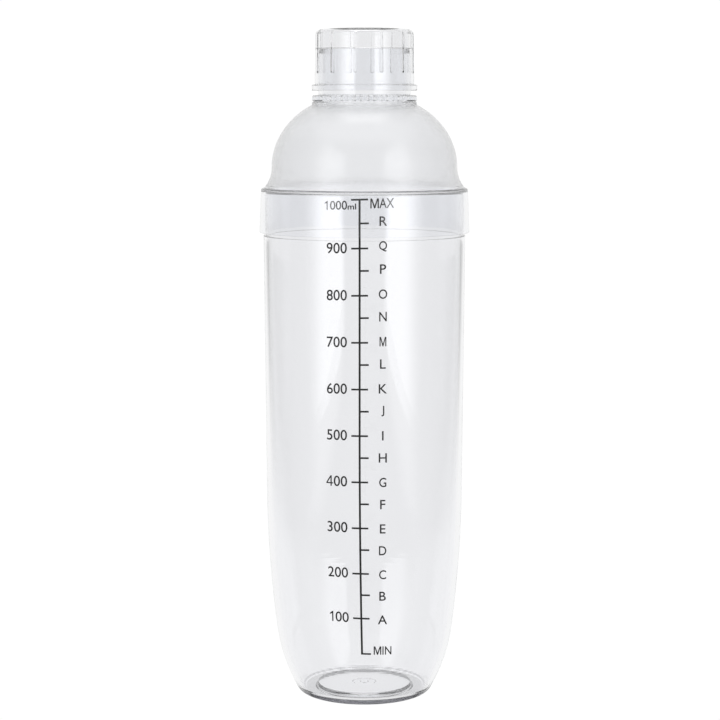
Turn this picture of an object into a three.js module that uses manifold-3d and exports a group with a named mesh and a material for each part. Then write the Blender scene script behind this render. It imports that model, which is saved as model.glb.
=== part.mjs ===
// A one-litre clear plastic shaker in three mouldings: a tall cup with a thick recessed foot, a
// domed lid whose skirt slips over the cup's rim and whose neck has a strainer plate moulded
// across its foot, and a fluted cap that pushes onto the neck.
// Millimetres, +Z up. The origin is the centre of the foot, on the surface the shaker stands on.
import * as THREE from "three";
import { mergeVertices } from "three/addons/utils/BufferGeometryUtils.js";
import Module from "manifold-3d";

// ---- Driving dimensions ---------------------------------------------------------------------
const WALL = 2; // moulded wall of the cup and the dome
const GAP = 0.3; // clearance between mouldings that fit together
const ROUND_SEGMENTS = 48; // facets round every turned moulding

// Cup
const CUP_RADIUS = 43.05; // outside, just under the ledge
const CUP_DRAFT = THREE.MathUtils.degToRad(0.5); // lean of the straight wall
const LEDGE_HEIGHT = 198.5; // step that the lid's skirt comes down to
const LEDGE_CHAMFER = 0.3;
const RIM_HEIGHT = 217;
const RIM_RADIUS = 42.2; // outside of the stepped-in rim
const BELLY_TOP = 87.8; // where the straight wall starts to curve in
const BELLY_RADIUS = 486;
const BELLY_LEAN = THREE.MathUtils.degToRad(7.5); // lean where the belly meets the flank
const FLANK_RADIUS = 74.2;
const FOOT_ROUND = 4.4;
const FLOOR_HEIGHT = 4; // top of the thick base
const FLOOR_ROUND = 5;
const RECESS_RADIUS = 21.3; // hollow under the base, inside the foot ring
const RECESS_DEPTH = 1.8;
const RECESS_TAPER = 0.4;
const GATE_RADIUS = 5.2; // round dimple left by the moulding gate
const GATE_DEPTH = 0.5;
const NUB_RADIUS = 1.9;

// Lid: skirt, shoulder and dome
const SKIRT_BOTTOM = 199.9;
const SKIRT_RADIUS = 44.8; // outside, at the skirt's lower edge: the widest point
const SKIRT_TOP_RADIUS = 44.1;
const SKIRT_WALL = 1.6;
const SKIRT_TOP = 217.7; // where the skirt's outside turns in to the shoulder
const SHOULDER_HEIGHT = 218.7; // foot of the concave flare
const FLARE_RADIUS = 13.5; // concave sweep from the dome out to the skirt
const FLARE_HEIGHT = 227.6; // level at which the flare stands upright
const WAIST_RADIUS = 39.45; // outside, where the flare meets the dome
const DOME_REACH = 35.9; // half-axes of the dome's elliptical section
const DOME_RISE = 30.7;
const SEAT_HEIGHT = RIM_HEIGHT + GAP; // underside that rests on the cup's rim
const SEAT_INNER_RADIUS = 40.6;

// Lid: neck and strainer plate
const COLLAR_RADIUS = 22.3; // double bead round the foot of the neck
const COLLAR_BOTTOM = 253.8;
const COLLAR_GROOVE = 255.2; // level that parts its two beads
const COLLAR_GROOVE_DEPTH = 0.5;
const COLLAR_TOP = 257.8;
const COLLAR_ROUND = 0.9;
const NECK_RADIUS = 19.6;
const NECK_LEAD_RADIUS = 19.4; // where the lead-in for the cap begins
const NECK_LEAD_HEIGHT = 274.9;
const NECK_TOP_RADIUS = 19.1;
const NECK_HEIGHT = 277; // top of the neck
const NECK_ROUND = 0.3;
const BORE_RADIUS = 17.5;
const PLATE_BOTTOM = 255.5;
const PLATE_THICKNESS = 1.9;
const HOLE_RADIUS = 1.4;
const HOLE_FACETS = 10;
const HOLE_PITCH = 4.8; // distance from one ring of holes to the next
const HOLE_RINGS = 3; // each ring holds six holes more than the ring inside it

// Cap
const CAP_BOTTOM = 259.7;
const CAP_HEIGHT = 286.3; // top of the whole shaker
const CAP_FLANGE_RADIUS = 22.35;
const CAP_FLANGE_TOP = 262.2;
const CAP_RADIUS = 21.1; // outside, just above the flange
const CAP_TOP_RADIUS = 20.8; // outside, where the top corner begins
const CAP_CORNER = 2.4;
const CAP_INNER_CORNER = 0.8;
const CAP_CROWN = 0.9; // rise of the top from its corner to its centre
const CAP_WALL = 2.2;
const CAP_ROOF = 1.4; // thickness of the top
const CAP_MOUTH_EASE = 0.4; // lead-in at the cap's mouth
const FLUTES = 12;
const FLUTE_RADIUS = 0.9;
const FLUTE_DEPTH = 0.4;
const FLUTE_BOTTOM = 267.8;
const FLUTE_PHASE = THREE.MathUtils.degToRad(-10.4); // turn of the first flute from the front

// ---- Outline and solid helpers --------------------------------------------------------------
const point = (radius, height) => new THREE.Vector2(radius, height);

// Points along an ellipse about (radius, height). Angles are measured from the outward direction.
function curve(radius, height, reach, rise, from, to, steps) {
  return Array.from({ length: steps + 1 }, (_, i) => {
    const angle = from + ((to - from) * i) / steps;
    return point(radius + reach * Math.cos(angle), height + rise * Math.sin(angle));
  });
}

const arc = (radius, height, size, from, to, steps) => curve(radius, height, size, size, from, to, steps);

// A solid turned about the Z axis. The outline runs outwards below the material, up its outside
// and back in above it.
const turned = (outline) => new THREE.LatheGeometry(outline, ROUND_SEGMENTS).rotateX(Math.PI / 2);

const wasm = await Module();
wasm.setup();

function toSolid(geometry) {
  const bare = geometry.clone().deleteAttribute("normal").deleteAttribute("uv");
  const merged = mergeVertices(bare, 1e-4);
  return new wasm.Manifold(
    new wasm.Mesh({
      numProp: 3,
      vertProperties: merged.attributes.position.array,
      triVerts: new Uint32Array(merged.index.array),
    }),
  );
}

// A geometry with every cutter taken out of it.
function cut(geometry, cutters) {
  const left = cutters.reduce((solid, cutter) => solid.subtract(toSolid(cutter)), toSolid(geometry));
  const mesh = left.getMesh();
  return new THREE.BufferGeometry()
    .setAttribute("position", new THREE.BufferAttribute(mesh.vertProperties, 3))
    .setIndex(new THREE.BufferAttribute(mesh.triVerts, 1));
}

function part(name, geometry, material) {
  const mesh = new THREE.Mesh(geometry, material);
  mesh.name = name;
  return mesh;
}

// ---- Cup ------------------------------------------------------------------------------------
// Below the straight wall, belly, flank and foot follow one another as tangent arcs. The inside
// runs parallel to the outside down to the round at the edge of the floor.
function cupOutline() {
  const lean = Math.tan(CUP_DRAFT);
  const bellyStart = CUP_RADIUS - lean * (LEDGE_HEIGHT - BELLY_TOP);
  const belly = point(
    bellyStart - BELLY_RADIUS * Math.cos(CUP_DRAFT),
    BELLY_TOP + BELLY_RADIUS * Math.sin(CUP_DRAFT),
  );
  const offset = BELLY_RADIUS - FLANK_RADIUS;
  const flank = point(belly.x + offset * Math.cos(BELLY_LEAN), belly.y - offset * Math.sin(BELLY_LEAN));
  const innerFlank = FLANK_RADIUS - WALL;
  // Turn at which a round of the given size, resting on a level, touches the flank's arc.
  const touch = (level, round, reach) => Math.asin((flank.y - level - round) / (reach - round));
  const footTurn = touch(0, FOOT_ROUND, FLANK_RADIUS);
  const footCentre = flank.x + (FLANK_RADIUS - FOOT_ROUND) * Math.cos(footTurn);
  const floorTurn = touch(FLOOR_HEIGHT, FLOOR_ROUND, innerFlank);
  const floorCentre = flank.x + (innerFlank - FLOOR_ROUND) * Math.cos(floorTurn);
  const rimInside = CUP_RADIUS - WALL + lean * (RIM_HEIGHT - LEDGE_HEIGHT);
  const lip = (RIM_RADIUS - rimInside) / 2;
  return [
    // underside: gate dimple with its nub, recess and foot ring
    point(0, RECESS_DEPTH),
    point(NUB_RADIUS, RECESS_DEPTH),
    point(NUB_RADIUS, RECESS_DEPTH + GATE_DEPTH),
    point(GATE_RADIUS, RECESS_DEPTH + GATE_DEPTH),
    point(GATE_RADIUS, RECESS_DEPTH),
    point(RECESS_RADIUS - RECESS_TAPER, RECESS_DEPTH),
    point(RECESS_RADIUS, 0),
    // outside, from the foot up to the rim
    ...arc(footCentre, FOOT_ROUND, FOOT_ROUND, -Math.PI / 2, -footTurn, 4),
    ...arc(flank.x, flank.y, FLANK_RADIUS, -footTurn, -BELLY_LEAN, 5).slice(1),
    ...arc(belly.x, belly.y, BELLY_RADIUS, -BELLY_LEAN, -CUP_DRAFT, 5).slice(1),
    point(CUP_RADIUS, LEDGE_HEIGHT - LEDGE_CHAMFER),
    point(CUP_RADIUS - LEDGE_CHAMFER, LEDGE_HEIGHT),
    point(RIM_RADIUS, LEDGE_HEIGHT),
    ...arc(RIM_RADIUS - lip, RIM_HEIGHT - lip, lip, 0, Math.PI, 4),
    // inside, from the rim down to the floor
    ...arc(belly.x, belly.y, BELLY_RADIUS - WALL, -CUP_DRAFT, -BELLY_LEAN, 5),
    ...arc(flank.x, flank.y, innerFlank, -BELLY_LEAN, -floorTurn, 4).slice(1),
    ...arc(floorCentre, FLOOR_HEIGHT + FLOOR_ROUND, FLOOR_ROUND, -floorTurn, -Math.PI / 2, 3).slice(1),
    point(0, FLOOR_HEIGHT),
  ];
}

// ---- Lid with its strainer plate ----------------------------------------------------------------
function lidOutline() {
  const dome = point(WAIST_RADIUS - DOME_REACH, FLARE_HEIGHT);
  const flareCentre = WAIST_RADIUS + FLARE_RADIUS;
  const innerReach = DOME_REACH - WALL;
  const innerRise = DOME_RISE - WALL;
  const innerFlare = FLARE_RADIUS + WALL;
  const boreTurn = Math.acos((BORE_RADIUS - dome.x) / innerReach);
  const collarTurn = Math.asin((COLLAR_BOTTOM - dome.y) / DOME_RISE);
  const seatTurn = Math.PI + Math.acos((flareCentre - SEAT_INNER_RADIUS) / innerFlare);
  const shoulderTurn = Math.PI + Math.asin((FLARE_HEIGHT - SHOULDER_HEIGHT) / FLARE_RADIUS);
  return [
    // under the plate and down the inside of the dome to the seat and the skirt
    point(0, PLATE_BOTTOM),
    point(BORE_RADIUS, PLATE_BOTTOM),
    ...curve(dome.x, dome.y, innerReach, innerRise, boreTurn, 0, 7),
    ...arc(flareCentre, FLARE_HEIGHT, innerFlare, Math.PI, seatTurn, 3).slice(1),
    point(SEAT_INNER_RADIUS, SEAT_HEIGHT),
    point(SKIRT_TOP_RADIUS - SKIRT_WALL, SEAT_HEIGHT),
    point(SKIRT_RADIUS - SKIRT_WALL, SKIRT_BOTTOM),
    // outside, from the skirt's edge up to the top of the neck
    point(SKIRT_RADIUS, SKIRT_BOTTOM),
    point(SKIRT_TOP_RADIUS, SKIRT_TOP),
    ...arc(flareCentre, FLARE_HEIGHT, FLARE_RADIUS, shoulderTurn, Math.PI, 5),
    ...curve(dome.x, dome.y, DOME_REACH, DOME_RISE, 0, collarTurn, 8).slice(1),
    point(COLLAR_RADIUS, COLLAR_BOTTOM),
    point(COLLAR_RADIUS, COLLAR_GROOVE - COLLAR_GROOVE_DEPTH),
    point(COLLAR_RADIUS - COLLAR_GROOVE_DEPTH, COLLAR_GROOVE),
    point(COLLAR_RADIUS, COLLAR_GROOVE + COLLAR_GROOVE_DEPTH),
    ...arc(COLLAR_RADIUS - COLLAR_ROUND, COLLAR_TOP - COLLAR_ROUND, COLLAR_ROUND, 0, Math.PI / 2, 2),
    point(NECK_RADIUS, COLLAR_TOP),
    point(NECK_LEAD_RADIUS, NECK_LEAD_HEIGHT),
    point(NECK_TOP_RADIUS, NECK_HEIGHT - NECK_ROUND),
    point(NECK_TOP_RADIUS - NECK_ROUND, NECK_HEIGHT),
    // down the bore and over the plate
    point(BORE_RADIUS + NECK_ROUND, NECK_HEIGHT),
    point(BORE_RADIUS, NECK_HEIGHT - NECK_ROUND),
    point(BORE_RADIUS, PLATE_BOTTOM + PLATE_THICKNESS),
    point(0, PLATE_BOTTOM + PLATE_THICKNESS),
  ];
}

// Rods that drill the plate: one hole in the middle and rings of holes round it.
function plateDrills() {
  const rings = Array.from({ length: HOLE_RINGS + 1 }, (_, ring) =>
    Array.from({ length: Math.max(1, 6 * ring) }, (_, i) => {
      const turn = (Math.PI * i) / (3 * Math.max(1, ring));
      const reach = HOLE_PITCH * ring;
      return new THREE.CylinderGeometry(HOLE_RADIUS, HOLE_RADIUS, 2 * PLATE_THICKNESS, HOLE_FACETS)
        .rotateX(Math.PI / 2)
        .translate(reach * Math.cos(turn), reach * Math.sin(turn), PLATE_BOTTOM + PLATE_THICKNESS / 2);
    }),
  );
  return rings.flat();
}

// ---- Cap: its inner ledge stops on the neck and its flutes run out through the top corner --------
function capOutline() {
  const ledge = NECK_HEIGHT + GAP;
  const shoulder = CAP_HEIGHT - CAP_CROWN;
  const flat = CAP_TOP_RADIUS - CAP_CORNER;
  const inside = CAP_TOP_RADIUS - CAP_WALL;
  const mouth = NECK_RADIUS + GAP;
  return [
    point(mouth + CAP_MOUTH_EASE, CAP_BOTTOM),
    point(CAP_FLANGE_RADIUS, CAP_BOTTOM),
    point(CAP_FLANGE_RADIUS, CAP_FLANGE_TOP),
    point(CAP_RADIUS, CAP_FLANGE_TOP),
    ...arc(flat, shoulder - CAP_CORNER, CAP_CORNER, 0, Math.PI / 2, 4),
    point(flat / 2, CAP_HEIGHT - CAP_CROWN / 4),
    point(0, CAP_HEIGHT),
    point(0, CAP_HEIGHT - CAP_ROOF),
    point(flat / 2, CAP_HEIGHT - CAP_CROWN / 4 - CAP_ROOF),
    point(inside - CAP_INNER_CORNER, shoulder - CAP_ROOF),
    point(inside, shoulder - CAP_ROOF - CAP_INNER_CORNER),
    point(inside, ledge),
    point(NECK_LEAD_RADIUS + GAP, ledge),
    point(mouth, CAP_BOTTOM + CAP_MOUTH_EASE),
    point(mouth + CAP_MOUTH_EASE, CAP_BOTTOM),
  ];
}

// Round-ended rods laid along the cap's wall, where its grip flutes go.
function fluteRods() {
  const middle = (CAP_RADIUS + CAP_TOP_RADIUS) / 2 - FLUTE_DEPTH + FLUTE_RADIUS;
  const length = CAP_HEIGHT - FLUTE_BOTTOM;
  return Array.from({ length: FLUTES }, (_, i) => {
    const turn = FLUTE_PHASE - Math.PI / 2 + (2 * Math.PI * i) / FLUTES;
    return new THREE.CapsuleGeometry(FLUTE_RADIUS, length, 3, 12)
      .rotateX(Math.PI / 2)
      .translate(middle * Math.cos(turn), middle * Math.sin(turn), FLUTE_BOTTOM + length / 2);
  });
}

// ---- Materials and assembly -------------------------------------------------------------------
const clearPlastic = new THREE.MeshStandardMaterial({
  color: 0xeef1f4, roughness: 0.05, metalness: 0, transparent: true, opacity: 0.35,
});
const hazyPlastic = new THREE.MeshStandardMaterial({
  color: 0xe6e8eb, roughness: 0.3, metalness: 0, transparent: true, opacity: 0.5,
});

const shaker = new THREE.Group();
shaker.add(
  part("cup", turned(cupOutline()), clearPlastic),
  part("strainer_lid", cut(turned(lidOutline()), plateDrills()), hazyPlastic),
  part("cap", cut(turned(capOutline()), fluteRods()), clearPlastic),
);

export default shaker;
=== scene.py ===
"""A one-litre clear plastic shaker: cup with a printed scale, domed strainer lid and fluted cap.

Everything is in metres in the frame's axes: +Z up, the scale faces -Y, the foot stands on z = 0.
"""

import math

import bmesh
import bpy
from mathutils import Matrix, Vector


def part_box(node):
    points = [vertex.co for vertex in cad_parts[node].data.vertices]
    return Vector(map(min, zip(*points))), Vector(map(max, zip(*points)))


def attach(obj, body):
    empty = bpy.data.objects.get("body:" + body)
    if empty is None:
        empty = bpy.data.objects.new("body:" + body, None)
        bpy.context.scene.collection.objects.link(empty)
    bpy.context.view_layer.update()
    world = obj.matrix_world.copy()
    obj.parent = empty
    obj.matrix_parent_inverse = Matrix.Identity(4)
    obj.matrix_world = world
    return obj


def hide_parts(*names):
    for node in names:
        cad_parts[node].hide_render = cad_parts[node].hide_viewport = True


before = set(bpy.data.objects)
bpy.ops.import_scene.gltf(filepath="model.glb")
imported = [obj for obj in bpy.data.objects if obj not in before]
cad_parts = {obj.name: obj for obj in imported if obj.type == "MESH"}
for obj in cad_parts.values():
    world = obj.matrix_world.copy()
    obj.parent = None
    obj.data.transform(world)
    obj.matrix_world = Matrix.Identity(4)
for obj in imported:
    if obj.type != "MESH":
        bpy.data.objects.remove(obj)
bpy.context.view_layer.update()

MM = 0.001


def rad(degrees):
    return math.radians(degrees)


# ---- Places taken from the frame -------------------------------------------------------------

_, cup_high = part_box("cup")
lid_low, lid_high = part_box("strainer_lid")
cap_low, cap_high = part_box("cap")

# ---- Dimensions ------------------------------------------------------------------------------

WALL = 2 * MM
GAP = 0.3 * MM  # clearance that the frame keeps between mouldings that touch
TURN_STEPS = 180  # facets round a plain turned moulding
SHARP_ANGLE = rad(40)  # edges sharper than this are not shaded over

CUP_RADIUS = cup_high.x
CUP_DRAFT = rad(0.5)
RIM_HEIGHT = cup_high.z
LEDGE_HEIGHT = RIM_HEIGHT - 18.5 * MM
RIM_RADIUS = CUP_RADIUS - 0.85 * MM
BELLY_TOP = 87.8 * MM
BELLY_RADIUS = 486 * MM
BELLY_LEAN = rad(7.5)
FLANK_RADIUS = 74.2 * MM
FOOT_ROUND = 4.4 * MM
FLOOR_HEIGHT = 4 * MM
RING_HEIGHT = 2.6 * MM  # floor round the raised part
FLOOR_ROUND = 3.4 * MM
RECESS_RADIUS = 21.3 * MM
RECESS_DEPTH = 1.8 * MM
STEP_RADIUS = 20.2 * MM  # edge of the raised part, which lies over the recess
STEP_LEAN = 0.25 * MM
GATE_RADIUS = 5.2 * MM
GATE_DEPTH = 0.5 * MM
NUB_RADIUS = 1.9 * MM

SKIRT_BOTTOM = lid_low.z
SKIRT_RADIUS = lid_high.x
SKIRT_TOP_RADIUS = SKIRT_RADIUS - 0.7 * MM
SKIRT_WALL = 1.6 * MM
SKIRT_TOP = SKIRT_BOTTOM + 17.8 * MM
SHOULDER_HEIGHT = SKIRT_BOTTOM + 18.8 * MM
FLARE_RADIUS = 13.5 * MM
FLARE_HEIGHT = SKIRT_BOTTOM + 27.7 * MM
WAIST_RADIUS = 39.45 * MM
DOME_REACH = 35.9 * MM
DOME_RISE = 30.7 * MM
SEAT_HEIGHT = RIM_HEIGHT + GAP
SEAT_INNER_RADIUS = 40.6 * MM

NECK_HEIGHT = lid_high.z
COLLAR_RADIUS = 22.3 * MM
COLLAR_BOTTOM = NECK_HEIGHT - 23.2 * MM
COLLAR_TOP = NECK_HEIGHT - 19.2 * MM
COLLAR_ROUND = 0.9 * MM
COLLAR_GROOVE = NECK_HEIGHT - 21.8 * MM
COLLAR_GROOVE_DEPTH = 0.5 * MM
NECK_RADIUS = 19.6 * MM
NECK_LEAD_RADIUS = 19.4 * MM
NECK_LEAD_HEIGHT = NECK_HEIGHT - 2.1 * MM
NECK_TOP_RADIUS = 19.1 * MM
NECK_ROUND = 0.35 * MM
BORE_RADIUS = 17.5 * MM
PLATE_BOTTOM = NECK_HEIGHT - 21.5 * MM
PLATE_THICKNESS = 1.9 * MM
HOLE_RADIUS = 1.4 * MM
HOLE_PITCH = 4.8 * MM
HOLE_RINGS = 3
HOLE_STEPS = 24

CAP_BOTTOM = cap_low.z
CAP_TOP = cap_high.z
CAP_FLANGE_RADIUS = cap_high.x
CAP_FLANGE_TOP = CAP_BOTTOM + 2.5 * MM
CAP_RADIUS = 21.1 * MM
CAP_TOP_RADIUS = 20.8 * MM
CAP_CORNER = 2.4 * MM
CAP_INNER_CORNER = 0.8 * MM
CAP_CROWN = 0.9 * MM
CAP_WALL = 2.2 * MM
CAP_ROOF = 1.4 * MM
CAP_MOUTH_EASE = 0.4 * MM
FLUTES = 12
FLUTE_RADIUS = 0.9 * MM
FLUTE_DEPTH = 0.4 * MM
FLUTE_BOTTOM = CAP_BOTTOM + 8.1 * MM
FLUTE_PHASE = rad(-10.4)
FLUTE_REACH = rad(3.4)  # half-width of the finely divided strip under each flute
FLUTE_STEPS = 26  # columns across that strip
PLAIN_STEPS = 12  # columns between two strips
FLUTE_BLEND = 0.12 * MM  # softening of a flute's edge
FLUTE_END_STEP = 0.1 * MM

# ---- Outlines: lists of (radius, height) -------------------------------------------------------


def ellipse(radius, height, reach, rise, start, end, steps):
    points = []
    for i in range(steps + 1):
        angle = start + (end - start) * i / steps
        points.append((radius + reach * math.cos(angle), height + rise * math.sin(angle)))
    return points


def arc(radius, height, size, start, end, steps):
    return ellipse(radius, height, size, size, start, end, steps)


def corner(radius, height, fillet, steps=6):
    """A corner to be rounded once its neighbours are known."""
    return (radius, height, fillet, steps)


def round_corners(outline):
    """Replaces each corner of an outline with an arc that touches both of its sides."""
    points = []
    last = len(outline) - 1
    for i, place in enumerate(outline):
        if len(place) == 2 or i in (0, last):
            points.append(Vector(place[:2]))
            continue
        here = Vector(place[:2])
        before = Vector(outline[i - 1][:2]) - here
        after = Vector(outline[i + 1][:2]) - here
        half_angle = before.angle(after) / 2
        reach = place[2] / math.tan(half_angle)
        reach = min(reach, 0.49 * before.length, 0.49 * after.length)
        start = here + before.normalized() * reach
        end = here + after.normalized() * reach
        fillet = reach * math.tan(half_angle)
        inward = (before.normalized() + after.normalized()).normalized()
        centre = here + inward * (reach / math.cos(half_angle))
        for k in range(place[3] + 1):
            spoke = (start - centre).normalized().slerp((end - centre).normalized(), k / place[3])
            points.append(centre + spoke.normalized() * fillet)
    return points


def add_support(points, near=0.12 * MM, longest=2.5 * MM):
    """Divides long straight stretches, with a point close to each end to hold the shading flat."""
    divided = [points[0]]
    for a, b in zip(points, points[1:]):
        length = (b - a).length
        if length > 6 * near:
            count = max(1, math.ceil((length - 2 * near) / longest))
            shares = [near / length + (1 - 2 * near / length) * k / count for k in range(count + 1)]
            divided += [a.lerp(b, share) for share in shares]
        divided.append(b)
    return divided


def finished(outline, longest=2.5 * MM):
    clean = []
    for point in round_corners(outline):
        if not clean or (point - clean[-1]).length > 1e-7:
            clean.append(point)
    return add_support(clean, longest=longest)


def turned(outline, angles, dent=None):
    """A closed mesh turned about the Z axis. dent(radius, height, angle) may move a point in."""
    mesh = bmesh.new()
    rings = []
    for point in outline:
        radius, height = point
        if radius < 1e-7:
            rings.append([mesh.verts.new((0, 0, height))])
            continue
        ring = []
        for angle in angles:
            reach = dent(radius, height, angle) if dent else radius
            ring.append(mesh.verts.new((reach * math.cos(angle), reach * math.sin(angle), height)))
        rings.append(ring)
    count = len(angles)
    for lower, upper in zip(rings, rings[1:]):
        for i in range(count):
            j = (i + 1) % count
            corners = [lower[k % len(lower)] for k in (i, j)] + [upper[k % len(upper)] for k in (j, i)]
            unique = list(dict.fromkeys(corners))
            if len(unique) > 2:
                mesh.faces.new(unique)
    return mesh


def into_object(name, mesh, material, smooth=True):
    bmesh.ops.recalc_face_normals(mesh, faces=mesh.faces)
    for face in mesh.faces:
        face.smooth = smooth
    data = bpy.data.meshes.new(name)
    mesh.to_mesh(data)
    mesh.free()
    if smooth:
        data.set_sharp_from_angle(angle=SHARP_ANGLE)
    piece = bpy.data.objects.new(name, data)
    piece.data.materials.append(material)
    bpy.context.scene.collection.objects.link(piece)
    return piece


def even_angles(steps):
    return [2 * math.pi * i / steps for i in range(steps)]


# ---- Cup ---------------------------------------------------------------------------------------

LEAN = math.tan(CUP_DRAFT)
BELLY_START = CUP_RADIUS - LEAN * (LEDGE_HEIGHT - BELLY_TOP)
BELLY = (
    BELLY_START - BELLY_RADIUS * math.cos(CUP_DRAFT),
    BELLY_TOP + BELLY_RADIUS * math.sin(CUP_DRAFT),
)
BELLY_TO_FLANK = BELLY_RADIUS - FLANK_RADIUS
FLANK = (
    BELLY[0] + BELLY_TO_FLANK * math.cos(BELLY_LEAN),
    BELLY[1] - BELLY_TO_FLANK * math.sin(BELLY_LEAN),
)


def cup_outside(height):
    """Outer radius of the cup's side, above the foot's round."""
    if height > BELLY_TOP:
        return CUP_RADIUS - LEAN * (LEDGE_HEIGHT - height)
    if height > BELLY[1] - BELLY_RADIUS * math.sin(BELLY_LEAN):
        return BELLY[0] + math.sqrt(BELLY_RADIUS**2 - (height - BELLY[1]) ** 2)
    return FLANK[0] + math.sqrt(FLANK_RADIUS**2 - (height - FLANK[1]) ** 2)


def cup_outline():
    inner_flank = FLANK_RADIUS - WALL

    def touch(level, size, reach):
        return math.asin((FLANK[1] - level - size) / (reach - size))

    foot_turn = touch(0, FOOT_ROUND, FLANK_RADIUS)
    foot_centre = FLANK[0] + (FLANK_RADIUS - FOOT_ROUND) * math.cos(foot_turn)
    floor_turn = touch(RING_HEIGHT, FLOOR_ROUND, inner_flank)
    floor_centre = FLANK[0] + (inner_flank - FLOOR_ROUND) * math.cos(floor_turn)
    floor_level = RING_HEIGHT + FLOOR_ROUND
    rim_inside = CUP_RADIUS - WALL + LEAN * (RIM_HEIGHT - LEDGE_HEIGHT)
    return [
        (0, RECESS_DEPTH),
        corner(NUB_RADIUS - 0.4 * MM, RECESS_DEPTH, 0.2 * MM, 3),
        corner(NUB_RADIUS, RECESS_DEPTH + GATE_DEPTH, 0.15 * MM, 3),
        corner(GATE_RADIUS - 0.3 * MM, RECESS_DEPTH + GATE_DEPTH, 0.25 * MM, 3),
        corner(GATE_RADIUS, RECESS_DEPTH, 0.25 * MM, 3),
        corner(RECESS_RADIUS - 0.4 * MM, RECESS_DEPTH, 0.25 * MM, 4),
        corner(RECESS_RADIUS, 0, 0.2 * MM, 4),
        *arc(foot_centre, FOOT_ROUND, FOOT_ROUND, -math.pi / 2, -foot_turn, 14),
        *arc(*FLANK, FLANK_RADIUS, -foot_turn, -BELLY_LEAN, 24)[1:],
        *arc(*BELLY, BELLY_RADIUS, -BELLY_LEAN, -CUP_DRAFT, 24)[1:],
        corner(CUP_RADIUS, LEDGE_HEIGHT, 0.12 * MM, 4),
        corner(RIM_RADIUS, LEDGE_HEIGHT, 0.06 * MM, 3),
        corner(RIM_RADIUS, RIM_HEIGHT, 0.5 * MM),
        corner(rim_inside, RIM_HEIGHT, 0.5 * MM),
        *arc(*BELLY, BELLY_RADIUS - WALL, -CUP_DRAFT, -BELLY_LEAN, 24),
        *arc(*FLANK, inner_flank, -BELLY_LEAN, -floor_turn, 22)[1:],
        *arc(floor_centre, floor_level, FLOOR_ROUND, -floor_turn, -math.pi / 2, 12)[1:],
        corner(STEP_RADIUS + STEP_LEAN, RING_HEIGHT, 0.15 * MM, 3),
        corner(STEP_RADIUS, FLOOR_HEIGHT, 0.2 * MM, 4),
        (0, FLOOR_HEIGHT),
    ]


# ---- Strainer lid ------------------------------------------------------------------------------


def lid_outline():
    """From the plate's underside down the inside, up the outside and back down the bore."""
    dome_radius = WAIST_RADIUS - DOME_REACH
    flare_radius = WAIST_RADIUS + FLARE_RADIUS
    inner_reach = DOME_REACH - WALL
    inner_rise = DOME_RISE - WALL
    inner_flare = FLARE_RADIUS + WALL
    bore_turn = math.acos((BORE_RADIUS + 0.3 * MM - dome_radius) / inner_reach)
    collar_turn = math.asin((COLLAR_BOTTOM - FLARE_HEIGHT) / DOME_RISE)
    seat_turn = math.pi + math.acos((flare_radius - SEAT_INNER_RADIUS) / inner_flare)
    shoulder_turn = math.pi + math.asin((FLARE_HEIGHT - SHOULDER_HEIGHT) / FLARE_RADIUS)
    return [
        (BORE_RADIUS, PLATE_BOTTOM),
        *ellipse(dome_radius, FLARE_HEIGHT, inner_reach, inner_rise, bore_turn, 0, 36),
        *arc(flare_radius, FLARE_HEIGHT, inner_flare, math.pi, seat_turn, 12)[1:-1],
        corner(SEAT_INNER_RADIUS, SEAT_HEIGHT, 0.3 * MM, 4),
        corner(SKIRT_TOP_RADIUS - SKIRT_WALL, SEAT_HEIGHT, 0.2 * MM, 4),
        corner(SKIRT_RADIUS - SKIRT_WALL, SKIRT_BOTTOM, 0.06 * MM, 3),
        corner(SKIRT_RADIUS, SKIRT_BOTTOM, 0.14 * MM, 4),
        corner(SKIRT_TOP_RADIUS, SKIRT_TOP + 0.3 * MM, 0.5 * MM, 5),
        corner(SKIRT_TOP_RADIUS - 0.8 * MM, SHOULDER_HEIGHT, 0.5 * MM, 5),
        *arc(flare_radius, FLARE_HEIGHT, FLARE_RADIUS, shoulder_turn, math.pi, 16),
        *ellipse(dome_radius, FLARE_HEIGHT, DOME_REACH, DOME_RISE, 0, collar_turn, 40)[1:-1],
        corner(COLLAR_RADIUS, COLLAR_BOTTOM, 0.15 * MM, 3),
        corner(COLLAR_RADIUS, COLLAR_GROOVE - COLLAR_GROOVE_DEPTH, 0.3 * MM, 4),
        corner(COLLAR_RADIUS - COLLAR_GROOVE_DEPTH, COLLAR_GROOVE, 0.12 * MM, 3),
        corner(COLLAR_RADIUS, COLLAR_GROOVE + COLLAR_GROOVE_DEPTH, 0.3 * MM, 4),
        corner(COLLAR_RADIUS, COLLAR_TOP, COLLAR_ROUND, 8),
        corner(NECK_RADIUS, COLLAR_TOP, 0.3 * MM, 4),
        corner(NECK_LEAD_RADIUS, NECK_LEAD_HEIGHT, 0.3 * MM, 4),
        corner(NECK_TOP_RADIUS, NECK_HEIGHT, NECK_ROUND, 6),
        corner(BORE_RADIUS, NECK_HEIGHT, NECK_ROUND, 6),
        (BORE_RADIUS, PLATE_BOTTOM + PLATE_THICKNESS),
    ]


def hole_centres():
    centres = [(0.0, 0.0)]
    for ring in range(1, HOLE_RINGS + 1):
        for i in range(6 * ring):
            turn = math.pi * i / (3 * ring)
            centres.append((HOLE_PITCH * ring * math.cos(turn), HOLE_PITCH * ring * math.sin(turn)))
    return centres


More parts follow.
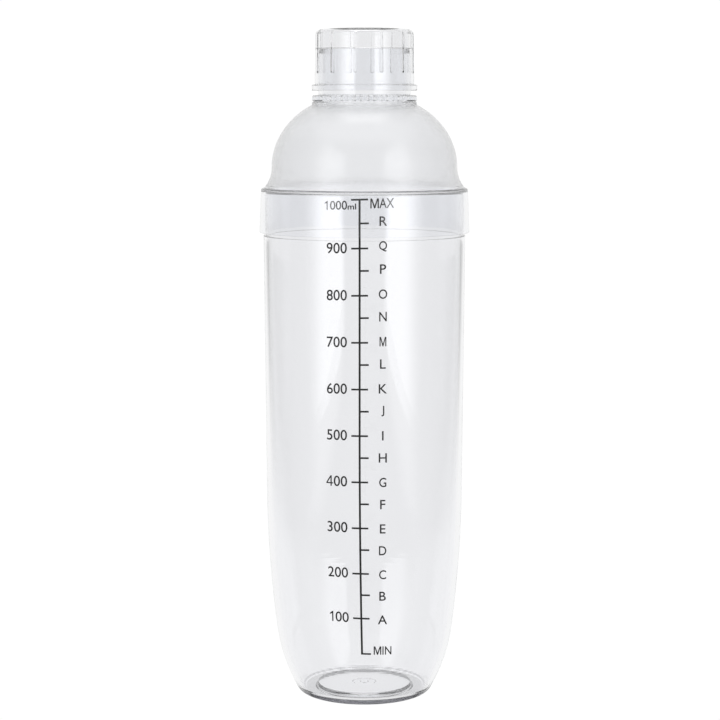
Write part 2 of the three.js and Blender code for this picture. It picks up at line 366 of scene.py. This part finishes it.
def add_plate(mesh, angles):
    """Closes the lid's bore with the strainer plate: two drilled faces and the walls of the holes."""
    bottom = PLATE_BOTTOM
    top = PLATE_BOTTOM + PLATE_THICKNESS
    mesh.verts.ensure_lookup_table()
    count = len(angles)
    rims = {bottom: list(mesh.verts[:count]), top: list(mesh.verts[-count:])}
    loops = {}
    for level, rim in rims.items():
        edges = [mesh.edges.get((rim[i], rim[(i + 1) % count])) for i in range(count)]
        holes = []
        for x, y in hole_centres():
            ring = []
            for i in range(HOLE_STEPS):
                turn = 2 * math.pi * i / HOLE_STEPS
                place = (x + HOLE_RADIUS * math.cos(turn), y + HOLE_RADIUS * math.sin(turn), level)
                ring.append(mesh.verts.new(place))
            edges += [mesh.edges.new((ring[i], ring[(i + 1) % HOLE_STEPS])) for i in range(HOLE_STEPS)]
            holes.append(ring)
        bmesh.ops.triangle_fill(mesh, use_beauty=True, edges=edges)
        loops[level] = holes
    for low_ring, high_ring in zip(loops[bottom], loops[top]):
        for i in range(HOLE_STEPS):
            j = (i + 1) % HOLE_STEPS
            mesh.faces.new((low_ring[i], low_ring[j], high_ring[j], high_ring[i]))


# ---- Cap ---------------------------------------------------------------------------------------


def cap_outline():
    """From the roof's underside down the inside, and up the outside to the middle of the top."""
    ledge = NECK_HEIGHT + GAP
    shoulder = CAP_TOP - CAP_CROWN
    flat = CAP_TOP_RADIUS - CAP_CORNER
    mouth = NECK_RADIUS + GAP
    inside = CAP_TOP_RADIUS - CAP_WALL
    crown = [(flat * (1 - k / 8), CAP_TOP - CAP_CROWN * (1 - k / 8) ** 2) for k in range(9)]
    roof = [(radius, height - CAP_ROOF) for radius, height in reversed(crown[1:])]
    return [
        *roof,
        corner(inside, shoulder - CAP_ROOF, CAP_INNER_CORNER, 8),
        corner(inside, ledge, 0.25 * MM, 4),
        corner(NECK_LEAD_RADIUS + GAP, ledge, 0.2 * MM, 4),
        corner(mouth, CAP_BOTTOM + CAP_MOUTH_EASE, 0.2 * MM, 3),
        corner(mouth + CAP_MOUTH_EASE, CAP_BOTTOM, 0.15 * MM, 3),
        corner(CAP_FLANGE_RADIUS, CAP_BOTTOM, 0.35 * MM, 5),
        corner(CAP_FLANGE_RADIUS, CAP_FLANGE_TOP, 0.5 * MM, 5),
        corner(CAP_RADIUS, CAP_FLANGE_TOP, 0.3 * MM, 5),
        *arc(flat, shoulder - CAP_CORNER, CAP_CORNER, 0, math.pi / 2, 20),
        *crown[1:],
    ]


def flute_turns():
    return [FLUTE_PHASE - math.pi / 2 + 2 * math.pi * i / FLUTES for i in range(FLUTES)]


def fluted_angles():
    """Angles round the cap, close together across each flute and wide apart between them."""
    rest = 2 * math.pi / FLUTES - 2 * FLUTE_REACH
    angles = []
    for turn in flute_turns():
        angles += [turn - FLUTE_REACH + 2 * FLUTE_REACH * k / FLUTE_STEPS for k in range(FLUTE_STEPS)]
        angles += [turn + FLUTE_REACH + rest * k / PLAIN_STEPS for k in range(PLAIN_STEPS)]
    return angles


def flute_dent(radius, height, angle):
    """Radius of the cap's wall once the flutes are cut into it."""
    middle = (CAP_RADIUS + CAP_TOP_RADIUS) / 2 - FLUTE_DEPTH + FLUTE_RADIUS
    if radius < middle - FLUTE_RADIUS - 0.1 * MM or height < FLUTE_BOTTOM - FLUTE_RADIUS:
        return radius
    span = 2 * math.pi / FLUTES
    offset = (angle - FLUTE_PHASE + math.pi / 2 + span / 2) % span - span / 2
    across = radius * math.sin(offset)
    below = max(0.0, FLUTE_BOTTOM - height)
    room = FLUTE_RADIUS**2 - across**2 - below**2
    if room <= 0:
        return radius
    groove = middle - math.sqrt(room)
    share = max(0.0, FLUTE_BLEND - abs(radius - groove)) / FLUTE_BLEND
    return min(radius, groove) - share * share * FLUTE_BLEND / 4


def refine(outline):
    """Divides the outside of the wall finely where the flutes end."""
    low, high = FLUTE_BOTTOM - 1.2 * MM, FLUTE_BOTTOM + 0.4 * MM
    fine = [outline[0]]
    for a, b in zip(outline, outline[1:]):
        outside = min(a.x, b.x) > CAP_TOP_RADIUS - 0.2 * MM
        if outside and max(a.y, b.y) > low and min(a.y, b.y) < high:
            count = max(1, math.ceil((b - a).length / FLUTE_END_STEP))
            fine += [a.lerp(b, k / count) for k in range(1, count)]
        fine.append(b)
    return fine


# ---- Materials -----------------------------------------------------------------------------------

PLASTIC_IOR = 1.58
CUP_TINT = (0.984, 0.987, 0.999)
CAP_TINT = (0.978, 0.981, 0.99)
LID_TINT = (0.984, 0.989, 1.0)
# painted shade for the foot's outer round and recess step
FOOT_PAINTED_SHADE = (0.1, 0.1, 0.12)
SHOULDER_PAINTED_GLINT = (0.18, 0.18, 0.2)  # painted dark reflection along the skirt's top corner
CLEAR_ROUGHNESS = 0.02
MATT_ROUGHNESS = 0.17


class Nodes:
    """Small helpers for a node tree. A source or value may be a number or another node's output."""

    def __init__(self, tree):
        self.tree = tree

    def node(self, kind, **settings):
        made = self.tree.nodes.new(kind)
        for key, value in settings.items():
            setattr(made, key, value)
        return made

    def feed(self, socket, value):
        if isinstance(value, bpy.types.NodeSocket):
            self.tree.links.new(value, socket)
        else:
            socket.default_value = value

    def ramp(self, source, low, high, to_low, to_high, kind="LINEAR"):
        made = self.node("ShaderNodeMapRange", interpolation_type=kind)
        values = zip(("From Min", "From Max", "To Min", "To Max"), (low, high, to_low, to_high))
        for key, value in values:
            self.feed(made.inputs[key], value)
        self.feed(made.inputs["Value"], source)
        return made.outputs["Result"]

    def ease(self, *values):
        return self.ramp(*values, kind="SMOOTHSTEP")

    def maths(self, operation, *values):
        made = self.node("ShaderNodeMath", operation=operation)
        for socket, value in zip(made.inputs, values):
            self.feed(socket, value)
        return made.outputs["Value"]

    def product(self, first, *others):
        for other in others:
            first = self.maths("MULTIPLY", first, other)
        return first

    def length(self, first, second):
        squares = [self.maths("MULTIPLY", value, value) for value in (first, second)]
        return self.maths("SQRT", self.maths("ADD", *squares))

    def split(self, source):
        made = self.node("ShaderNodeSeparateXYZ")
        self.feed(made.inputs["Vector"], source)
        return made.outputs

    def place(self):
        return self.node("ShaderNodeTexCoord").outputs["Object"]

    def camera_sees(self, other, seen):
        """One value for what the camera sees, another for what the plastic reflects and bends."""
        return self.ease(self.node("ShaderNodeLightPath").outputs["Is Camera Ray"], 0, 1, other, seen)


class Shader(Nodes):
    """A material with a Principled surface."""

    def __init__(self, name):
        self.material = bpy.data.materials.new(name)
        self.material.use_nodes = True
        super().__init__(self.material.node_tree)
        self.surface = self.tree.nodes["Principled BSDF"]

    def set(self, **values):
        for key, value in values.items():
            self.feed(self.surface.inputs[key.replace("_", " ")], value)

    def height_and_radius(self):
        axes = self.split(self.place())
        return axes["Z"], self.length(axes["X"], axes["Y"])

    def noise(self, scale, detail, stretch=None):
        source = self.place()
        if stretch:
            mapping = self.node("ShaderNodeMapping")
            self.feed(mapping.inputs["Scale"], stretch)
            self.feed(mapping.inputs["Vector"], source)
            source = mapping.outputs["Vector"]
        made = self.node("ShaderNodeTexNoise")
        self.feed(made.inputs["Scale"], scale)
        self.feed(made.inputs["Detail"], detail)
        self.feed(made.inputs["Vector"], source)
        return made.outputs["Fac"]

    def bump(self, height, strength, distance):
        made = self.node("ShaderNodeBump")
        for key, value in zip(("Height", "Strength", "Distance"), (height, strength, distance)):
            self.feed(made.inputs[key], value)
        self.set(Normal=made.outputs["Normal"])

    def tint(self, plain, marked, where):
        """Colours the surface with one colour, and with another where a mask says so."""
        mix = self.node("ShaderNodeMix", data_type="RGBA")
        for key, value in zip(("Factor", "A", "B"), (where, (*plain, 1), (*marked, 1))):
            self.feed(mix.inputs[key], value)
        self.set(Base_Color=mix.outputs["Result"])


def clear_plastic(name, tint, painted_foot_shade=False):
    """Clear plastic, faintly wavy and smeared. The foot may get painted shade: dark at its outer round
    and at the recess step, standing in for the shadowed table beneath.
    """
    shader = Shader(name)
    shader.set(Base_Color=(*tint, 1), IOR=PLASTIC_IOR, Transmission_Weight=1.0)
    if painted_foot_shade:
        # painted shade: the foot's outer round and the recess step are coloured dark, in place of the
        # shadowed table seen through them
        height, apart = shader.height_and_radius()
        low = shader.ease(height, 2.5 * MM, 3.5 * MM, 1, 0)
        out = shader.ease(apart, 25.6 * MM, 26.6 * MM, 0, 1)
        backfacing = shader.node("ShaderNodeNewGeometry").outputs["Backfacing"]
        rim = shader.product(low, shader.maths("SUBTRACT", 1.0, backfacing), out)
        above = shader.ramp(height, 0.15 * MM, 0.35 * MM, 0, 1)
        below = shader.ramp(height, RECESS_DEPTH - 0.25 * MM, RECESS_DEPTH - 0.1 * MM, 1, 0)
        beyond = shader.ramp(apart, RECESS_RADIUS - 0.35 * MM, RECESS_RADIUS - 0.15 * MM, 0, 1)
        within = shader.ramp(apart, RECESS_RADIUS + 0.3 * MM, RECESS_RADIUS + 0.5 * MM, 1, 0)
        step = shader.product(above, below, beyond, within)
        shader.tint(tint, FOOT_PAINTED_SHADE, shader.maths("MAXIMUM", rim, step))
    shader.bump(shader.noise(18, 2, stretch=(1, 1, 0.45)), 0.06, 0.4 * MM)
    shader.set(Roughness=shader.ramp(shader.noise(55, 4), 0.45, 0.75, 0.012, 0.045))
    return shader.material


def lid_plastic(name, tint):
    """Clear at the skirt and the neck, with a fine matt texture over the dome between them."""
    shader = Shader(name)
    shader.set(Base_Color=(*tint, 1), IOR=PLASTIC_IOR, Transmission_Weight=1.0)
    height, apart = shader.height_and_radius()
    # painted dark reflection: a thin band round the skirt's top corner is coloured dark
    above = shader.ramp(height, SKIRT_TOP + 0.4 * MM, SKIRT_TOP + 0.6 * MM, 0, 1)
    below = shader.ramp(height, SHOULDER_HEIGHT + 0.2 * MM, SHOULDER_HEIGHT + 0.4 * MM, 1, 0)
    outside = shader.ramp(apart, SKIRT_TOP_RADIUS - 1.6 * MM, SKIRT_TOP_RADIUS - 1.1 * MM, 0, 1)
    shader.tint(tint, SHOULDER_PAINTED_GLINT, shader.product(above, below, outside))
    foot = shader.ease(height, SHOULDER_HEIGHT, SHOULDER_HEIGHT + 1.0 * MM, 0, 1)
    head = shader.ease(height, COLLAR_BOTTOM - 0.6 * MM, COLLAR_BOTTOM, 1, 0)
    mottle = shader.ramp(shader.noise(140, 5), 0.3, 0.7, 0.9, 1.1)
    matt = shader.product(foot, head, mottle)
    shader.set(Roughness=shader.ramp(matt, 0, 1, CLEAR_ROUGHNESS, MATT_ROUGHNESS))
    return shader.material


def ink(name):
    """Black ink with a fine speckle, worn pale at both ends of the topmost line of the scale."""
    shader = Shader(name)
    speckle = shader.noise(2400, 3)
    axes = shader.split(shader.place())
    covered = shader.ramp(axes["Z"], LEDGE_HEIGHT, RIM_HEIGHT - 8 * MM, 0, 1)
    left = shader.ease(axes["X"], -12.6 * MM, -11.4 * MM, 1, 0)
    right = shader.ease(axes["X"], 6.5 * MM, 9 * MM, 0, 1)
    worn = shader.product(covered, shader.maths("MAXIMUM", left, right))
    dark = shader.ramp(speckle, 0.3, 0.7, 0.008, 0.02)
    pale = shader.ramp(speckle, 0.3, 0.7, 0.32, 0.42)
    shader.set(Base_Color=shader.ramp(worn, 0, 1, dark, pale))
    shader.set(Roughness=shader.ramp(speckle, 0.3, 0.7, 0.4, 0.55))
    return shader.material


# ---- Printed scale ---------------------------------------------------------------------------------
# The artwork is laid out flat: x runs round the front of the cup, z is the height.

INK_LIFT = 0.03 * MM
INK_THICKNESS = 0.05 * MM
INK_STEP = 0.9 * MM  # longest stretch of ink before it bends with the cup
STEM_X = -2.05 * MM
STEM_WIDTH = 0.84 * MM
TICK_WIDTH = 0.74 * MM
TICK_REACH = 3.45 * MM
HALF_TICK_REACH = 3.75 * MM
FIRST_TICK = 40.65 * MM  # the 100 ml mark
TICK_PITCH = 19.36 * MM
TOP_TICK = 215.4 * MM
BOTTOM_TICK = 25.1 * MM
HALF_TICK_RISE = 0.5 * MM
NUMBER_X = -11.6 * MM
NUMBER_WIDTH = 8.6 * MM
NUMBER_HEIGHT = 4.45 * MM
LETTER_X = 7.55 * MM
LETTER_HEIGHT = 3.9 * MM
LETTER_SQUEEZE = 1.03
LETTER_WEIGHT = 0.008  # how far the outline of each character is moved outwards, in ems
BOLD_WEIGHT = 0.02
DRAWN = {  # characters set from straight edges, in a box one unit high
    "M": (
        (0, 0), (0, 1), (0.18, 1), (0.42, 0.27), (0.66, 1), (0.84, 1), (0.84, 0),
        (0.71, 0), (0.71, 0.76), (0.48, 0), (0.36, 0), (0.13, 0.76), (0.13, 0),
    ),
    "1": ((0.22, 0), (0.22, 0.77), (0, 0.66), (0, 0.77), (0.25, 1), (0.34, 1), (0.34, 0)),
    "4": (  # the way in to the counter runs along the top of the crossbar
        (0.4, 0), (0.4, 0.23), (0, 0.23), (0, 0.34), (0.14, 0.345), (0.4, 0.345), (0.4, 0.79),
        (0.135, 0.35), (0, 0.345), (0.4, 1), (0.52, 1), (0.52, 0.34), (0.66, 0.34), (0.66, 0.23),
        (0.52, 0.23), (0.52, 0),
    ),
}
LETTER_STRETCH = 0.0074  # the letters stand a little wider apart than the ticks
LETTER_LEVEL = 82.6 * MM
PRINT_TWIST = 0.3  # the print is laid on a little askew: slope gained per metre of height
PRINT_LEVEL = 140 * MM
PRINT_BEND = 0.117  # sideways drift of the stem below the bend, per metre squared
BEND_LEVEL = 118 * MM
LETTERS = "ABCDEFGHIJKLMNOPQR"
WIDE_LETTERS = "CDGMNOQ"
WIDE_SQUEEZE = 0.87
TALLER = {"J": 1.12, "Q": 1.1}  # letters that reach below the line


def onto_cup(mesh):
    """Lays flat artwork on the front of the cup. Its y is the height above the surface."""
    for vertex in mesh.verts:
        x, lift, z = vertex.co
        if x < STEM_X + 1.5 * HALF_TICK_REACH:
            x += PRINT_BEND * max(0.0, BEND_LEVEL - z) ** 2
        z += (x - STEM_X) * PRINT_TWIST * (z - PRINT_LEVEL)
        surface = RIM_RADIUS if z > LEDGE_HEIGHT else cup_outside(z)
        radius = surface + INK_LIFT + lift
        turn = x / surface
        vertex.co = (radius * math.sin(turn), -radius * math.cos(turn), z)


def bar(mesh, x0, x1, z0, z1):
    """A printed bar as a thin slab, divided so that it can follow the cup."""
    across = max(1, math.ceil((x1 - x0) / INK_STEP))
    along = max(1, math.ceil((z1 - z0) / (2 * INK_STEP)))
    grids = []
    for lift in (0, INK_THICKNESS):
        grid = []
        for i in range(across + 1):
            x = x0 + (x1 - x0) * i / across
            heights = [z0 + (z1 - z0) * j / along for j in range(along + 1)]
            grid.append([mesh.verts.new((x, lift, z)) for z in heights])
        grids.append(grid)
    low, high = grids
    for i in range(across):
        for j in range(along):
            for grid in grids:
                mesh.faces.new((grid[i][j], grid[i + 1][j], grid[i + 1][j + 1], grid[i][j + 1]))
        for j in (0, along):
            mesh.faces.new((low[i][j], low[i + 1][j], high[i + 1][j], high[i][j]))
    for j in range(along):
        for i in (0, across):
            mesh.faces.new((low[i][j], low[i][j + 1], high[i][j + 1], high[i][j]))


def drawn_shape(text):
    part = bmesh.new()
    part.faces.new([part.verts.new((x, y, 0)) for x, y in DRAWN[text]])
    bmesh.ops.triangulate(part, faces=part.faces[:])
    return part


def typed_shape(text, weight):
    curve = bpy.data.curves.new("lettering", "FONT")
    curve.body = text
    curve.offset = weight
    curve.resolution_u = 5
    holder = bpy.data.objects.new("lettering", curve)
    bpy.context.scene.collection.objects.link(holder)
    bpy.context.view_layer.update()
    flat = bpy.data.meshes.new_from_object(holder)
    part = bmesh.new()
    part.from_mesh(flat)
    bmesh.ops.remove_doubles(part, verts=part.verts, dist=1e-5)
    bpy.data.objects.remove(holder)
    bpy.data.curves.remove(curve)
    bpy.data.meshes.remove(flat)
    return part


def lettering(mesh, text, x, z, height, width=None, weight=LETTER_WEIGHT, squeeze=LETTER_SQUEEZE):
    """Adds lettering centred on (x, z), set to a height and, if given, to a width."""
    part = drawn_shape(text) if text in DRAWN else typed_shape(text, weight)
    low = Vector([min(v.co[k] for v in part.verts) for k in (0, 1)])
    high = Vector([max(v.co[k] for v in part.verts) for k in (0, 1)])
    middle = (low + high) / 2
    tall = height / (high.y - low.y)
    wide = width / (high.x - low.x) if width else tall * squeeze
    for vertex in part.verts:
        vertex.co = (x + (vertex.co.x - middle.x) * wide, 0, z + (vertex.co.y - middle.y) * tall)
    reach = (high.x - low.x) * wide / 2
    cuts = math.ceil(2 * reach / INK_STEP)
    for k in range(1, cuts):
        place = (x - reach + 2 * reach * k / cuts, 0, 0)
        everything = part.verts[:] + part.edges[:] + part.faces[:]
        bmesh.ops.bisect_plane(part, geom=everything, plane_co=place, plane_no=(1, 0, 0))
    raised = bmesh.ops.extrude_face_region(part, geom=part.faces[:], use_keep_orig=True)
    for item in raised["geom"]:
        if isinstance(item, bmesh.types.BMVert):
            item.co.y = INK_THICKNESS
    whole = bpy.data.meshes.new("lettering")
    part.to_mesh(whole)
    part.free()
    mesh.from_mesh(whole)
    bpy.data.meshes.remove(whole)


def tick_height(step):
    """Height of the tick that is the given number of half steps of 50 ml up the scale."""
    if step == 20:
        return TOP_TICK
    return FIRST_TICK + TICK_PITCH * (step - 2) / 2


def scale_marks():
    mesh = bmesh.new()
    half = TICK_WIDTH / 2
    bar(mesh, STEM_X - STEM_WIDTH / 2, STEM_X + STEM_WIDTH / 2, BOTTOM_TICK - half, TOP_TICK + half)
    edge = STEM_X + STEM_WIDTH / 2
    for step in range(2, 21, 2):
        z = tick_height(step)
        bar(mesh, STEM_X - TICK_REACH, STEM_X - STEM_WIDTH / 2, z - half, z + half)
        bar(mesh, edge, STEM_X + TICK_REACH, z - half, z + half)
    for step in range(3, 20, 2):
        z = tick_height(step) + HALF_TICK_RISE
        bar(mesh, edge, STEM_X + HALF_TICK_REACH, z - half, z + half)
    bar(mesh, edge, STEM_X + HALF_TICK_REACH, BOTTOM_TICK - half, BOTTOM_TICK + half)
    return mesh


def scale_lettering():
    mesh = bmesh.new()
    for step in range(2, 19, 2):
        z = tick_height(step) + 0.25 * MM
        number = str(50 * step)
        if number[0] in DRAWN:
            lettering(mesh, number[0], NUMBER_X - 3.15 * MM, z, NUMBER_HEIGHT)
            lettering(mesh, number[1:], NUMBER_X + 1.45 * MM, z, NUMBER_HEIGHT, 5.7 * MM)
        else:
            lettering(mesh, number, NUMBER_X, z, NUMBER_HEIGHT, NUMBER_WIDTH)
    for i, letter in enumerate(LETTERS):
        z = tick_height(i + 2)
        if i % 2:
            z += HALF_TICK_RISE
        z += LETTER_STRETCH * (z - LETTER_LEVEL) - 0.15 * MM
        tall = LETTER_HEIGHT * TALLER.get(letter, 1)
        squeeze = WIDE_SQUEEZE if letter in WIDE_LETTERS else LETTER_SQUEEZE
        lettering(mesh, letter, LETTER_X, z, tall, squeeze=squeeze)
    top = TOP_TICK - 2.15 * MM
    lettering(mesh, "1", NUMBER_X - 4.25 * MM, top, 3.7 * MM)
    lettering(mesh, "000", NUMBER_X + 0.95 * MM, top, 3.7 * MM, 7.1 * MM)
    lettering(mesh, "ml", STEM_X - 3.1 * MM, TOP_TICK - 2.75 * MM, 2.4 * MM, 3.5 * MM, BOLD_WEIGHT)
    lettering(mesh, "M", STEM_X + 6.05 * MM, TOP_TICK - 1.65 * MM, 4.0 * MM)
    lettering(mesh, "AX", STEM_X + 11.0 * MM, TOP_TICK - 1.65 * MM, 4.0 * MM, 6.1 * MM)
    lettering(mesh, "M", STEM_X + 7.5 * MM, BOTTOM_TICK + 1.55 * MM, 3.7 * MM)
    lettering(mesh, "IN", STEM_X + 11.55 * MM, BOTTOM_TICK + 1.55 * MM, 3.7 * MM, 3.9 * MM)
    return mesh


def printed(name, mesh, material):
    onto_cup(mesh)
    piece = into_object(name, mesh, material, smooth=False)
    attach(piece, "cup")


# ---- Build -------------------------------------------------------------------------------------------

cup_material = clear_plastic("cup plastic", CUP_TINT, painted_foot_shade=True)
cap_material = clear_plastic("cap plastic", CAP_TINT)
lid_material = lid_plastic("lid plastic", LID_TINT)
ink_material = ink("scale ink")

plain = even_angles(TURN_STEPS)

cup = into_object("clear_cup", turned(finished(cup_outline()), plain), cup_material)
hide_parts("cup")
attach(cup, "cup")

lid_mesh = turned(finished(lid_outline()), plain)
add_plate(lid_mesh, plain)
lid = into_object("domed_lid", lid_mesh, lid_material)
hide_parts("strainer_lid")
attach(lid, "strainer_lid")

cap_mesh = turned(refine(finished(cap_outline())), fluted_angles(), flute_dent)
cap = into_object("fluted_cap", cap_mesh, cap_material)
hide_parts("cap")
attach(cap, "cap")

printed("scale_marks", scale_marks(), ink_material)
printed("scale_lettering", scale_lettering(), ink_material)

# ---- Stage: a pale floor that glows, with painted shadow under the foot, its surround, soft lamps and the camera ---

CAMERA_PLACE = Vector((-1.9 * MM, -939.6 * MM, 254.3 * MM))
CAMERA_PITCH = rad(6.65)
LENS = 110.0
SENSOR = 36.0

WHITE = 1.02  # backdrop as the camera sees it
BACK_GREY = 0.93  # backdrop as it lights the shaker
FRONT_GREY = 0.45  # room in front of the shaker and beside it
CEILING_GREY = 0.85
LOW_GREY = 0.3  # table edge and floor below it
PAINTED_SHADOW_GREY = 0.6  # painted shadow on the floor under the foot, where no light would reach
PAINTED_SHADOW_INSIDE = (20.6 * MM, 21.4 * MM)
PAINTED_SHADOW_OUTSIDE = (25 * MM, 27 * MM)


def make_camera():
    data = bpy.data.cameras.new("camera")
    data.lens = LENS
    data.sensor_width = SENSOR
    data.clip_start = 0.01
    data.clip_end = 50
    camera = bpy.data.objects.new("camera", data)
    camera.location = CAMERA_PLACE
    camera.rotation_euler = (math.pi / 2 - CAMERA_PITCH, 0, 0)
    bpy.context.scene.collection.objects.link(camera)
    bpy.context.scene.camera = camera


SOFT = (0.25, 0.25)  # share of a lamp's width over which its light fades at either edge


def softbox(name, place, aim, width, height, radiance, feather=(SOFT, SOFT)):
    """A rectangular lamp whose light fades towards its edges. It is not seen by the camera itself."""
    data = bpy.data.lights.new(name, "AREA")
    data.shape = "RECTANGLE"
    data.size = width
    data.size_y = height
    data.energy = radiance * math.pi * width * height
    data.use_nodes = True
    nodes = Nodes(data.node_tree)
    glow = data.node_tree.nodes["Emission"]
    across = nodes.split(nodes.node("ShaderNodeNewGeometry").outputs["Parametric"])
    fade = 1.0
    for axis, (start, end) in zip("XY", feather):
        rise = nodes.ease(across[axis], 0.0, start, 0, 1)
        fall = nodes.ease(across[axis], 1 - end, 1.0, 1, 0)
        fade = nodes.product(fade, nodes.product(rise, fall))
    nodes.feed(glow.inputs["Strength"], fade)
    lamp = bpy.data.objects.new(name, data)
    lamp.location = place
    lamp.rotation_euler = (Vector(aim) - Vector(place)).to_track_quat("-Z", "Y").to_euler()
    lamp.visible_camera = False
    bpy.context.scene.collection.objects.link(lamp)


def make_world():
    world = bpy.data.worlds.new("studio")
    bpy.context.scene.world = world
    world.use_nodes = True
    nodes = Nodes(world.node_tree)
    background = world.node_tree.nodes["Background"]
    direction = nodes.split(nodes.node("ShaderNodeTexCoord").outputs["Generated"])
    level = nodes.length(direction["X"], direction["Y"])
    facing = nodes.maths("DIVIDE", direction["Y"], level)
    around = nodes.ease(facing, 0.0, 0.9, FRONT_GREY, BACK_GREY)
    above = nodes.ease(direction["Z"], 0.55, 0.9, 0, 1)
    below = nodes.ease(direction["Z"], -0.75, -0.4, 1, 0)
    shade = nodes.ease(above, 0, 1, around, CEILING_GREY)
    shade = nodes.ease(below, 0, 1, shade, LOW_GREY)
    nodes.feed(background.inputs["Strength"], nodes.camera_sees(shade, WHITE))
    nodes.feed(background.inputs["Color"], (1, 1, 1, 1))


def make_floor():
    mesh = bmesh.new()
    bmesh.ops.create_circle(mesh, cap_ends=True, radius=3.0, segments=96)
    data = bpy.data.meshes.new("floor")
    mesh.to_mesh(data)
    mesh.free()
    floor = bpy.data.objects.new("floor", data)
    bpy.context.scene.collection.objects.link(floor)
    material = bpy.data.materials.new("pale floor")
    material.use_nodes = True
    nodes = Nodes(material.node_tree)
    nodes.tree.nodes.remove(nodes.tree.nodes["Principled BSDF"])
    glow = nodes.node("ShaderNodeEmission")
    nodes.feed(nodes.tree.nodes["Material Output"].inputs["Surface"], glow.outputs["Emission"])
    # The floor glows by itself. To what the plastic reflects and bends, it shows a painted pool of
    # light: bright in a wedge behind the shaker, grey in front and aside.
    place = nodes.split(nodes.place())
    near = nodes.ease(place["Y"], -0.16, -0.07, 0, 1)
    ahead = nodes.maths("SUBTRACT", place["Y"], CAMERA_PLACE.y)
    aside = nodes.maths("ABSOLUTE", nodes.maths("DIVIDE", place["X"], ahead))
    behind = nodes.ease(aside, 0.17, 0.48, 1, 0)
    light = nodes.ease(nodes.product(near, behind), 0, 1, FRONT_GREY, BACK_GREY)
    # painted shadow: the floor's glow is dimmed in the ring under the foot, and a little under the
    # recess
    apart = nodes.length(place["X"], place["Y"])
    inner = nodes.ease(apart, *PAINTED_SHADOW_INSIDE, 0.6, 0)
    outer = nodes.ease(apart, *PAINTED_SHADOW_OUTSIDE, 0, 1)
    open_air = nodes.maths("MAXIMUM", inner, outer)
    shade = nodes.ease(open_air, 0, 1, PAINTED_SHADOW_GREY, light)
    nodes.feed(glow.inputs["Strength"], nodes.camera_sees(shade, WHITE))
    floor.data.materials.append(material)
    floor.visible_glossy = False


make_camera()
make_world()
make_floor()
softbox("left softbox", (-0.72, -1.0, 0.5), (0, -1.0, 0.5), 1.5, 1.25, 0.95, (SOFT, (0.06, 0.3)))
softbox("right softbox", (0.72, -1.0, 0.55), (0, -1.0, 0.55), 1.5, 1.35, 0.99, (SOFT, (0.06, 0.3)))
softbox("top softbox", (0, 0.15, 1.4), (0, 0.1, 0.2), 0.9, 0.7, 0.9)

scene = bpy.context.scene
scene.view_settings.view_transform = "Standard"
scene.view_settings.look = "None"
scene.cycles.max_bounces = 32
scene.cycles.transmission_bounces = 32
scene.cycles.glossy_bounces = 16
scene.cycles.transparent_max_bounces = 16
